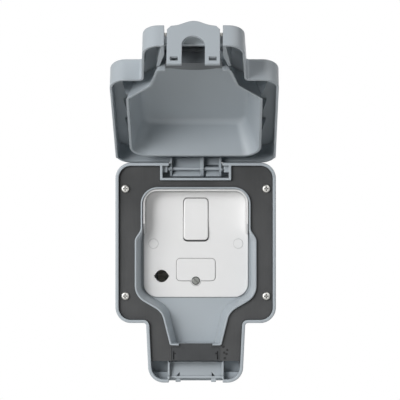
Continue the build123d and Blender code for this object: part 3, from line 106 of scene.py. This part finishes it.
def linear(code):
    """The linear colour of an sRGB hex code."""
    parts = [int(code[i:i + 2], 16) / 255 for i in (1, 3, 5)]
    return [c / 12.92 if c <= 0.04045 else ((c + 0.055) / 1.055) ** 2.4 for c in parts]


# What a user would change


def colour(name, code, description):
    """A colour, given as a hex code."""
    return FloatVectorProperty(
        name=name, description=description, subtype="COLOR", size=3, min=0, max=1, default=linear(code)
    )


def length(name, size_mm, description):
    """A length, given in millimetres."""
    return FloatProperty(name=name, description=description, unit="LENGTH", default=size_mm * MM)


def power(name, watts, description):
    """The power of a lamp, given in watts."""
    return FloatProperty(name=name, description=description, unit="POWER", default=watts)


class SpurFinishes(bpy.types.PropertyGroup):
    enclosure: colour("Enclosure", "#ACB4BA", "Light grey of the box, frame, lid, latch and hinge pin")
    mat: colour("Mat", "#464748", "Dark rubber mat inside the rim of the box")
    seal: colour("Lower seal", "#3C3E40", "Soft rubber where the flex leaves the box, and the gasket")
    lid_seal: colour("Upper seal", "#63686C", "Soft rubber at the foot of the lid")
    plate: colour("Plate", "#EEEEEE", "White of the plate, its caps, the rocker and the fuse carrier")
    rear: colour("Rear moulding", "#D6D5D0", "Off-white mouldings behind the plate")
    pips: colour("Pips", "#0B0C0D", "Soft pips on the mat beside the lower seal")
    stainless: colour("Stainless steel", "#C4C3BF", "Frame screws, the latch's pin and the fuse's cups")
    plated: colour("Plated steel", "#80827F", "Zinc-plated screws and springs")
    brass: colour("Brass", "#C9A85C", "Terminals, contacts, clips and inserts")
    ceramic: colour("Ceramic", "#EFEDE4", "Barrel of the fuse")


class SpurPips(bpy.types.PropertyGroup):
    radius: length("Pip radius", 0.95, "Radius of a moulded pip on the mat")
    height: length("Pip height", 0.15, "How far a pip stands out of the mat")
    soft_edge: length("Pip edge", 0.1, "Rounding of the top of a pip")


class SpurStage(bpy.types.PropertyGroup):
    key_power: power("Key", 10.9, "Power of the wide soft box at the left")
    accent_power: power("Accent", 7.0, "Power of the small soft box beside it")
    fill_power: power("Fill", 7.4, "Power of the wide soft box at the upper right")
    rear_power: power("Rear", 9.0, "Power of the wide soft box behind the object")
    floor_drop: length("Floor drop", 120, "Gap from the foot of the box to the floor")


# Materials


def add(tree, kind, inputs=None, **settings):
    """Adds one node, with its settings, then its values and links."""
    made = tree.nodes.new(kind)
    for name, value in settings.items():
        setattr(made, name, value)
    for key, value in (inputs or {}).items():
        if isinstance(value, bpy.types.NodeSocket):
            tree.links.new(value, made.inputs[key])
        else:
            made.inputs[key].default_value = value
    return made


def start_material(name, rgb, **sockets):
    """An empty principled material, and the pieces of it that every finish needs."""
    material = bpy.data.materials.new(name)
    material.use_nodes = True
    tree = material.node_tree
    shader = tree.nodes["Principled BSDF"]
    shader.inputs["Base Color"].default_value = (*rgb, 1)
    material.diffuse_color = (*rgb, 1)
    for key, value in sockets.items():
        shader.inputs[key.replace("_", " ")].default_value = value
    place = add(tree, "ShaderNodeTexCoord").outputs["Object"]
    return material, tree, shader, place


def per_metre(size_mm):
    """The scale that gives a noise pattern features of that size."""
    return 1 / (size_mm * MM)


def tinted(tree, rgb, factor, darker, lighter):
    """The colour varied between a darker and a lighter share of itself by a pattern."""
    low = [c * darker for c in rgb]
    high = [min(1, c * lighter) for c in rgb]
    return add(
        tree, "ShaderNodeMix", {"Factor": factor, "A": (*low, 1), "B": (*high, 1)}, data_type="RGBA"
    ).outputs["Result"]


def painted_corner_shade(tree, shade, darkest, reach_mm):
    """The colour with painted shade: darker in inner corners, creases, recesses and gaps, where shade
    falls.
    """
    open_sky = add(tree, "ShaderNodeAmbientOcclusion", {"Distance": reach_mm * MM}, samples=8)
    reach = add(
        tree,
        "ShaderNodeMapRange",
        {"Value": open_sky.outputs["AO"], "From Min": 0.35, "From Max": 0.9, "To Min": darkest},
    )
    return add(
        tree,
        "ShaderNodeMix",
        {"Factor": 1.0, "A": shade, "B": reach.outputs["Result"]},
        data_type="RGBA",
        blend_type="MULTIPLY",
    ).outputs["Result"]


def moulded_enclosure(rgb):
    """Polycarbonate blend, moulded in a tool with a fine spark-eroded grain.

    The grain breaks the gloss into a soft, even sheen, and the flow of the melt leaves the
    colour a shade uneven over a few centimetres.
    """
    material, tree, shader, place = start_material(
        "spark_grained_polycarbonate", rgb, IOR=1.58, Roughness=0.44
    )
    flow = add(
        tree,
        "ShaderNodeTexNoise",
        {"Vector": place, "Scale": per_metre(38), "Detail": 3.0, "Roughness": 0.5},
    )
    # The real grain is about 0.1 mm, too fine to show, so it is drawn at 0.45 mm
    grain = add(
        tree,
        "ShaderNodeTexNoise",
        {"Vector": place, "Scale": per_metre(0.45), "Detail": 2.0, "Roughness": 0.6},
    )
    shade = tinted(tree, rgb, flow.outputs["Fac"], darker=0.965, lighter=1.03)
    fine = tinted(tree, (1, 1, 1), grain.outputs["Fac"], darker=0.97, lighter=1.0)
    both = add(
        tree,
        "ShaderNodeMix",
        {"Factor": 1.0, "A": shade, "B": fine},
        data_type="RGBA",
        blend_type="MULTIPLY",
    )
    gloss = add(
        tree,
        "ShaderNodeMapRange",
        {
            "Value": grain.outputs["Fac"],
            "From Min": NOISE_LOW,
            "From Max": NOISE_HIGH,
            "To Min": 0.38,
            "To Max": 0.52,
        },
    )
    rounded = add(tree, "ShaderNodeBevel", {"Radius": 0.8 * MM}, samples=6)
    bump = add(
        tree,
        "ShaderNodeBump",
        {
            "Height": grain.outputs["Fac"],
            "Distance": 0.02 * MM,
            "Strength": 0.5,
            "Normal": rounded.outputs["Normal"],
        },
    )
    # Painted shade in the inner corners, recesses and gaps of the moulding
    corner_shaded = painted_corner_shade(tree, both.outputs["Result"], darkest=0.72, reach_mm=3.0)
    tree.links.new(corner_shaded, shader.inputs["Base Color"])
    tree.links.new(gloss.outputs["Result"], shader.inputs["Roughness"])
    tree.links.new(bump.outputs["Normal"], shader.inputs["Normal"])
    return material


def moulded_rubber(name, rgb, sheen, top_shade=1.0):
    """Compression-moulded EPDM rubber.

    It is matt and drinks light, with a soft bloom on the surface and faint drag marks that
    run down the sheet. Where it lies under an open lid, its top is darkened by painted shade of the lid.
    """
    material, tree, shader, place = start_material(
        name, rgb, IOR=1.5, Roughness=0.72, Sheen_Weight=sheen, Sheen_Roughness=0.5
    )
    stretched = add(tree, "ShaderNodeMapping", {"Vector": place, "Scale": (1.0, 1.0, 0.06)})
    drag = add(
        tree,
        "ShaderNodeTexNoise",
        {"Vector": stretched.outputs["Vector"], "Scale": per_metre(1.6), "Detail": 4.0, "Roughness": 0.6},
    )
    bloom = add(
        tree,
        "ShaderNodeTexNoise",
        {"Vector": place, "Scale": per_metre(24), "Detail": 4.0, "Roughness": 0.6},
    )
    # Rubber skin is pitted at about 0.2 mm, drawn at 0.6 mm so that it shows
    pits = add(
        tree,
        "ShaderNodeTexNoise",
        {"Vector": place, "Scale": per_metre(0.6), "Detail": 3.0, "Roughness": 0.7},
    )
    marks = tinted(tree, rgb, drag.outputs["Fac"], darker=0.86, lighter=1.12)
    cast = tinted(tree, (1, 1, 1), bloom.outputs["Fac"], darker=0.84, lighter=1.0)
    both = add(
        tree,
        "ShaderNodeMix",
        {"Factor": 1.0, "A": marks, "B": cast},
        data_type="RGBA",
        blend_type="MULTIPLY",
    )
    # Painted shade of the open lid: darker towards the top, by height
    height = add(tree, "ShaderNodeSeparateXYZ", {"Vector": place}).outputs["Z"]
    lid_shade = add(
        tree,
        "ShaderNodeMapRange",
        {
            "Value": height,
            "From Min": LID_SHADE_FROM,
            "From Max": LID_SHADE_TO,
            "To Min": 1.0,
            "To Max": top_shade,
        },
        interpolation_type="SMOOTHSTEP",
    )
    sheet = add(
        tree,
        "ShaderNodeMix",
        {"Factor": 1.0, "A": both.outputs["Result"], "B": lid_shade.outputs["Result"]},
        data_type="RGBA",
        blend_type="MULTIPLY",
    )
    gloss = add(
        tree,
        "ShaderNodeMapRange",
        {
            "Value": bloom.outputs["Fac"],
            "From Min": NOISE_LOW,
            "From Max": NOISE_HIGH,
            "To Min": 0.62,
            "To Max": 0.82,
        },
    )
    bump = add(
        tree, "ShaderNodeBump", {"Height": pits.outputs["Fac"], "Distance": 0.03 * MM, "Strength": 0.6}
    )
    tree.links.new(sheet.outputs["Result"], shader.inputs["Base Color"])
    tree.links.new(gloss.outputs["Result"], shader.inputs["Roughness"])
    tree.links.new(bump.outputs["Normal"], shader.inputs["Normal"])
    return material


def pressed_urea(name, rgb, roughness):
    """Urea-formaldehyde, hot-pressed in a polished tool.

    It is hard, dense and white, with a smooth gloss that ripples a little and an edge that
    the tool leaves softly broken.
    """
    material, tree, shader, place = start_material(name, rgb, IOR=1.6, Roughness=roughness)
    cloud = add(
        tree,
        "ShaderNodeTexNoise",
        {"Vector": place, "Scale": per_metre(60), "Detail": 1.0, "Roughness": 0.4},
    )
    ripple = add(tree, "ShaderNodeTexNoise", {"Vector": place, "Scale": per_metre(16), "Detail": 0.0})
    speck = add(
        tree,
        "ShaderNodeTexNoise",
        {"Vector": place, "Scale": per_metre(0.5), "Detail": 2.0, "Roughness": 0.6},
    )
    shade = tinted(tree, rgb, cloud.outputs["Fac"], darker=0.99, lighter=1.005)
    fine = tinted(tree, (1, 1, 1), speck.outputs["Fac"], darker=0.99, lighter=1.0)
    both = add(
        tree,
        "ShaderNodeMix",
        {"Factor": 1.0, "A": shade, "B": fine},
        data_type="RGBA",
        blend_type="MULTIPLY",
    )
    gloss = add(
        tree,
        "ShaderNodeMapRange",
        {
            "Value": ripple.outputs["Fac"],
            "From Min": NOISE_LOW,
            "From Max": NOISE_HIGH,
            "To Min": roughness - RIPPLE_GLOSS,
            "To Max": roughness + RIPPLE_GLOSS,
        },
    )
    rounded = add(tree, "ShaderNodeBevel", {"Radius": 0.25 * MM}, samples=4)
    bump = add(
        tree,
        "ShaderNodeBump",
        {
            "Height": ripple.outputs["Fac"],
            "Distance": 0.01 * MM,
            "Strength": 0.2,
            "Normal": rounded.outputs["Normal"],
        },
    )
    # Painted shade in the corners of the recess and in the gaps round the rocker and the carrier
    corner_shaded = painted_corner_shade(tree, both.outputs["Result"], darkest=0.5, reach_mm=2.0)
    tree.links.new(corner_shaded, shader.inputs["Base Color"])
    tree.links.new(gloss.outputs["Result"], shader.inputs["Roughness"])
    tree.links.new(bump.outputs["Normal"], shader.inputs["Normal"])
    return material


def worked_metal(name, rgb, smooth, rough, mark_mm, depth_mm, corner_darkest, stretch=(1, 1, 1)):
    """A metal whose finish is in its tool marks: fine lines or a fine grain in the gloss."""
    material, tree, shader, place = start_material(
        name, rgb, Metallic=1.0, Roughness=(smooth + rough) / 2
    )
    drawn = add(tree, "ShaderNodeMapping", {"Vector": place, "Scale": stretch})
    marks = add(
        tree,
        "ShaderNodeTexNoise",
        {"Vector": drawn.outputs["Vector"], "Scale": per_metre(mark_mm), "Detail": 3.0, "Roughness": 0.6},
    )
    tarnish = add(
        tree,
        "ShaderNodeTexNoise",
        {"Vector": place, "Scale": per_metre(2.5), "Detail": 3.0, "Roughness": 0.6},
    )
    shade = tinted(tree, rgb, tarnish.outputs["Fac"], darker=0.86, lighter=1.06)
    gloss = add(
        tree,
        "ShaderNodeMapRange",
        {
            "Value": marks.outputs["Fac"],
            "From Min": NOISE_LOW,
            "From Max": NOISE_HIGH,
            "To Min": smooth,
            "To Max": rough,
        },
    )
    bump = add(
        tree,
        "ShaderNodeBump",
        {"Height": marks.outputs["Fac"], "Distance": depth_mm * MM, "Strength": 0.5},
    )
    # Painted shade in the recesses of heads and in slots
    corner_shaded = painted_corner_shade(tree, shade, darkest=corner_darkest, reach_mm=1.2)
    tree.links.new(corner_shaded, shader.inputs["Base Color"])
    tree.links.new(gloss.outputs["Result"], shader.inputs["Roughness"])
    tree.links.new(bump.outputs["Normal"], shader.inputs["Normal"])
    return material


def fired_ceramic(rgb):
    """Steatite, pressed and fired: white, faintly chalky, with a thin hard skin."""
    material, tree, shader, place = start_material("fired_steatite", rgb, IOR=1.65, Roughness=0.4)
    chalk = add(
        tree,
        "ShaderNodeTexNoise",
        {"Vector": place, "Scale": per_metre(1.2), "Detail": 4.0, "Roughness": 0.6},
    )
    shade = tinted(tree, rgb, chalk.outputs["Fac"], darker=0.94, lighter=1.0)
    bump = add(
        tree, "ShaderNodeBump", {"Height": chalk.outputs["Fac"], "Distance": 0.01 * MM, "Strength": 0.5}
    )
    tree.links.new(shade, shader.inputs["Base Color"])
    tree.links.new(bump.outputs["Normal"], shader.inputs["Normal"])
    return material


def seen_rays(tree):
    """One for rays that look, also through a clear piece or in a gloss, and none for those that light."""
    path = add(tree, "ShaderNodeLightPath").outputs
    clear = add(
        tree,
        "ShaderNodeMath",
        {0: path["Is Camera Ray"], 1: path["Is Transmission Ray"]},
        operation="MAXIMUM",
    )
    seen = add(
        tree,
        "ShaderNodeMath",
        {0: clear.outputs[0], 1: path["Is Glossy Ray"]},
        operation="MAXIMUM",
    )
    return seen.outputs[0]


def dress(names, material):
    """Gives CAD nodes their finish."""
    for name in names:
        slots = nodes[name].material_slots
        if not slots:
            nodes[name].data.materials.append(material)
        for place in slots:
            place.material = material


# New pieces


def finish_piece(name, mesh, material, body):
    """Turns a bmesh into a piece that rides on a body."""
    bmesh.ops.remove_doubles(mesh, verts=mesh.verts, dist=MERGE_DISTANCE)
    bmesh.ops.recalc_face_normals(mesh, faces=mesh.faces)
    data = bpy.data.meshes.new(name)
    mesh.to_mesh(data)
    mesh.free()
    for face in data.polygons:
        face.use_smooth = True
    piece = bpy.data.objects.new(name, data)
    bpy.context.scene.collection.objects.link(piece)
    data.materials.append(material)
    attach(piece, body)
    return piece


class SPUR_OT_enclosure(bpy.types.Operator):
    """Finishes the box, the frame, the lid, the latch and the hinge pin as grained grey plastic"""

    bl_idname = "spur.enclosure"
    bl_label = "Enclosure"

    def execute(self, context):
        material = moulded_enclosure(context.scene.spur_finishes.enclosure)
        dress(["back_box", "front_frame", "lid_shell", "latch_clip", "hinge_pin"], material)
        return {"FINISHED"}


class SPUR_OT_rubber(bpy.types.Operator):
    """Finishes the mat, the gasket and the two cable seals as moulded rubber"""

    bl_idname = "spur.rubber"
    bl_label = "Rubber"

    def execute(self, context):
        finishes = context.scene.spur_finishes
        # The mat's top gets painted shade of the open lid
        mat = moulded_rubber("moulded_mat_rubber", finishes.mat, sheen=0.12, top_shade=0.76)
        dress(["sealing_mat"], mat)
        seal = moulded_rubber("moulded_seal_rubber", finishes.seal, sheen=0.05)
        dress(["base_cable_seal", "box_gasket"], seal)
        lid_seal = moulded_rubber("moulded_lid_seal_rubber", finishes.lid_seal, sheen=0.1)
        dress(["lid_cable_seal"], lid_seal)
        return {"FINISHED"}


class SPUR_OT_accessory(bpy.types.Operator):
    """Finishes the plate, the rocker, the fuse and its carrier, and the mouldings behind them"""

    bl_idname = "spur.accessory"
    bl_label = "Accessory"

    def execute(self, context):
        finishes = context.scene.spur_finishes
        white = pressed_urea("hot_pressed_urea", finishes.plate, roughness=0.3)
        dress(["faceplate", "rocker", "fuse_carrier", "screw_caps"], white)
        rear = pressed_urea("pressed_rear_moulding", finishes.rear, roughness=0.5)
        dress(["module_housing", "cord_clamp", "plungers"], rear)
        dress(["fuse_body"], fired_ceramic(finishes.ceramic))
        return {"FINISHED"}


class SPUR_OT_metalwork(bpy.types.Operator):
    """Finishes the screws, the latch's pin, the springs, the fuse's cups and the brass inside"""

    bl_idname = "spur.metalwork"
    bl_label = "Metalwork"

    def execute(self, context):
        finishes = context.scene.spur_finishes
        # Tumbled stainless: a bright, even satin that spreads the highlight over a whole head or pin
        stainless = worked_metal(
            "tumbled_stainless",
            finishes.stainless,
            smooth=0.34,
            rough=0.48,
            mark_mm=0.35,
            depth_mm=0.01,
            corner_darkest=0.05,
        )
        dress(["frame_screws", "latch_pin"], stainless)
        # Zinc plate over steel: grey, dull and slightly cloudy
        plated = worked_metal(
            "zinc_plated_steel",
            finishes.plated,
            smooth=0.34,
            rough=0.5,
            mark_mm=0.5,
            depth_mm=0.01,
            corner_darkest=0.15,
        )
        dress(
            ["module_screws", "terminal_screws", "clamp_screws", "carrier_screw", "plunger_springs"],
            plated,
        )
        # Drawn and machined brass: warm, with fine lines across the bar
        brass = worked_metal(
            "machined_brass",
            finishes.brass,
            smooth=0.2,
            rough=0.38,
            mark_mm=0.4,
            depth_mm=0.01,
            corner_darkest=0.4,
            stretch=(0.15, 1, 1),
        )
        dress(
            [
                "live_supply_terminal",
                "neutral_supply_terminal",
                "live_load_terminal",
                "neutral_load_terminal",
                "earth_terminal",
                "centre_contacts",
                "fixed_contacts",
                "fuse_clip_left",
                "fuse_clip_right",
                "fixing_inserts",
                "switch_blades",
            ],
            brass,
        )
        # Nickel-plated cups: bright and smooth, pressed over the ends of the fuse
        nickel = worked_metal(
            "nickel_plated_cups",
            finishes.stainless,
            smooth=0.12,
            rough=0.24,
            mark_mm=0.5,
            depth_mm=0.005,
            corner_darkest=0.6,
        )
        dress(["fuse_caps"], nickel)
        return {"FINISHED"}


class SPUR_OT_pips(bpy.types.Operator):
    """Makes the soft pips that stand on the mat beside the lower seal"""

    bl_idname = "spur.pips"
    bl_label = "Pips"

    def execute(self, context):
        scene = context.scene
        size = scene.spur_pips
        mat_face = min(corner[1] for corner in nodes["sealing_mat"].bound_box)
        mesh = bmesh.new()
        for x, z in PIPS:
            made = bmesh.ops.create_cone(
                mesh,
                cap_ends=True,
                segments=PIP_SIDES,
                radius1=size.radius,
                radius2=size.radius * PIP_TAPER,
                depth=size.height + PIP_SUNK,
            )
            verts = made["verts"]
            top = [e for e in mesh.edges if all(v in verts and v.co.z > 0 for v in e.verts)]
            bevelled = bmesh.ops.bevel(
                mesh,
                geom=top,
                offset=size.soft_edge,
                segments=PIP_EDGE_STEPS,
                profile=0.5,
                affect="EDGES",
                material=-1,
            )
            verts = list({v for v in verts if v.is_valid} | set(bevelled["verts"]))
            # The cone's axis is turned to face the front, and its foot sinks into the mat
            bmesh.ops.rotate(mesh, verts=verts, cent=(0, 0, 0), matrix=Matrix.Rotation(radians(90), 3, "X"))
            middle = mat_face - (size.height - PIP_SUNK) / 2
            bmesh.ops.translate(mesh, verts=verts, vec=(x * MM, middle, z * MM))
        rubber = moulded_rubber("moulded_pip_rubber", scene.spur_finishes.pips, sheen=0.0)
        finish_piece("mat_pips", mesh, rubber, "base")
        return {"FINISHED"}


class SPUR_OT_stage(bpy.types.Operator):
    """Sets the pale floor, the white backdrop, the four lamps and the camera"""

    bl_idname = "spur.stage"
    bl_label = "Stage"

    def execute(self, context):
        scene = context.scene
        stage = scene.spur_stage
        self.floor(scene, stage.floor_drop)
        self.backdrop(scene)
        for name, power_name, side, azimuth, elevation, distance in LAMPS:
            self.lamp(scene, name, getattr(stage, power_name), side, azimuth, elevation, distance)
        self.camera(scene)
        scene.view_settings.view_transform = "Standard"
        return {"FINISHED"}

    def floor(self, scene, drop):
        """A square of pale paper below the object."""
        foot = cad_box[0][2]
        mesh = bmesh.new()
        bmesh.ops.create_grid(mesh, x_segments=1, y_segments=1, size=FLOOR_HALF_SIDE)
        bmesh.ops.translate(mesh, verts=mesh.verts, vec=(0, 0, foot - drop))
        data = bpy.data.meshes.new("studio_floor")
        mesh.to_mesh(data)
        mesh.free()
        floor = bpy.data.objects.new("studio_floor", data)
        scene.collection.objects.link(floor)
        data.materials.append(self.paper())

    def paper(self):
        """Pale matt paper, which the camera sees as white with the object's shadow in it."""
        rgb = linear("#F4F4F2")
        material, tree, shader, place = start_material("studio_paper", rgb, Roughness=0.9)
        fibre = add(tree, "ShaderNodeTexNoise", {"Vector": place, "Scale": per_metre(4), "Detail": 3.0})
        shade = tinted(tree, rgb, fibre.outputs["Fac"], darker=0.99, lighter=1.0)
        glow = add(tree, "ShaderNodeMath", {0: seen_rays(tree), 1: PAPER_GLOW}, operation="MULTIPLY")
        tree.links.new(shade, shader.inputs["Base Color"])
        shader.inputs["Emission Color"].default_value = (1, 1, 1, 1)
        tree.links.new(glow.outputs[0], shader.inputs["Emission Strength"])
        return material

    def backdrop(self, scene):
        """A white that is seen and mirrored, and lights nothing."""
        world = bpy.data.worlds.new("white_backdrop")
        scene.world = world
        world.use_nodes = True
        tree = world.node_tree
        seen = seen_rays(tree)
        white = tree.nodes["Background"]
        white.inputs["Color"].default_value = (1, 1, 1, 1)
        tree.links.new(seen, white.inputs["Strength"])

    def lamp(self, scene, name, watts, side, azimuth, elevation, distance):
        """A square soft box that faces the object: azimuth 0 is behind the camera, and left is negative."""
        a, e = radians(azimuth), radians(elevation)
        place = LAMP_TARGET + Vector((sin(a) * cos(e), -cos(a) * cos(e), sin(e))) * distance
        data = bpy.data.lights.new(name, "AREA")
        data.energy = watts
        data.size = side
        light = bpy.data.objects.new(name, data)
        light.location = place
        light.rotation_euler = (LAMP_TARGET - place).to_track_quat("-Z", "Y").to_euler()
        scene.collection.objects.link(light)

    def camera(self, scene):
        """A long lens, nearly level with the plate and a little to the right of the middle."""
        data = bpy.data.cameras.new("camera")
        data.lens = CAMERA_LENS
        data.sensor_width = CAMERA_SENSOR
        data.clip_end = CAMERA_FAR
        camera = bpy.data.objects.new("camera", data)
        scene.collection.objects.link(camera)
        camera.location = CAMERA_PLACE
        camera.rotation_euler = (radians(CAMERA_TILT), 0, radians(CAMERA_TURN))
        scene.camera = camera


class SPUR_PT_panel(bpy.types.Panel):
    """Lists the pieces in the order that they are made"""

    bl_idname = "SPUR_PT_panel"
    bl_label = "Fused Spur"
    bl_space_type = "VIEW_3D"
    bl_region_type = "UI"
    bl_category = "Fused Spur"

    def draw(self, context):
        layout = self.layout
        for operator in OPERATORS:
            layout.operator(operator.bl_idname)
        scene = context.scene
        for group in (scene.spur_finishes, scene.spur_pips, scene.spur_stage):
            box = layout.box()
            for name in group.__annotations__:
                box.prop(group, name)


OPERATORS = (
    SPUR_OT_enclosure,
    SPUR_OT_rubber,
    SPUR_OT_accessory,
    SPUR_OT_metalwork,
    SPUR_OT_pips,
    SPUR_OT_stage,
)
GROUPS = {"spur_finishes": SpurFinishes, "spur_pips": SpurPips, "spur_stage": SpurStage}


def register():
    """Registers the groups of values, the operators and the panel."""
    for group in GROUPS.values():
        bpy.utils.register_class(group)
    for name, group in GROUPS.items():
        setattr(bpy.types.Scene, name, PointerProperty(type=group))
    for operator in OPERATORS:
        bpy.utils.register_class(operator)
    bpy.utils.register_class(SPUR_PT_panel)


def unregister():
    """Takes away all that register added."""
    bpy.utils.unregister_class(SPUR_PT_panel)
    for operator in reversed(OPERATORS):
        bpy.utils.unregister_class(operator)
    for name in GROUPS:
        delattr(bpy.types.Scene, name)
    for group in reversed(list(GROUPS.values())):
        bpy.utils.unregister_class(group)


def main():
    """Makes the finishes, the pips and the stage in order."""
    register()
    bpy.ops.spur.enclosure()
    bpy.ops.spur.rubber()
    bpy.ops.spur.accessory()
    bpy.ops.spur.metalwork()
    bpy.ops.spur.pips()
    bpy.ops.spur.stage()


if __name__ == "__main__":
    main()
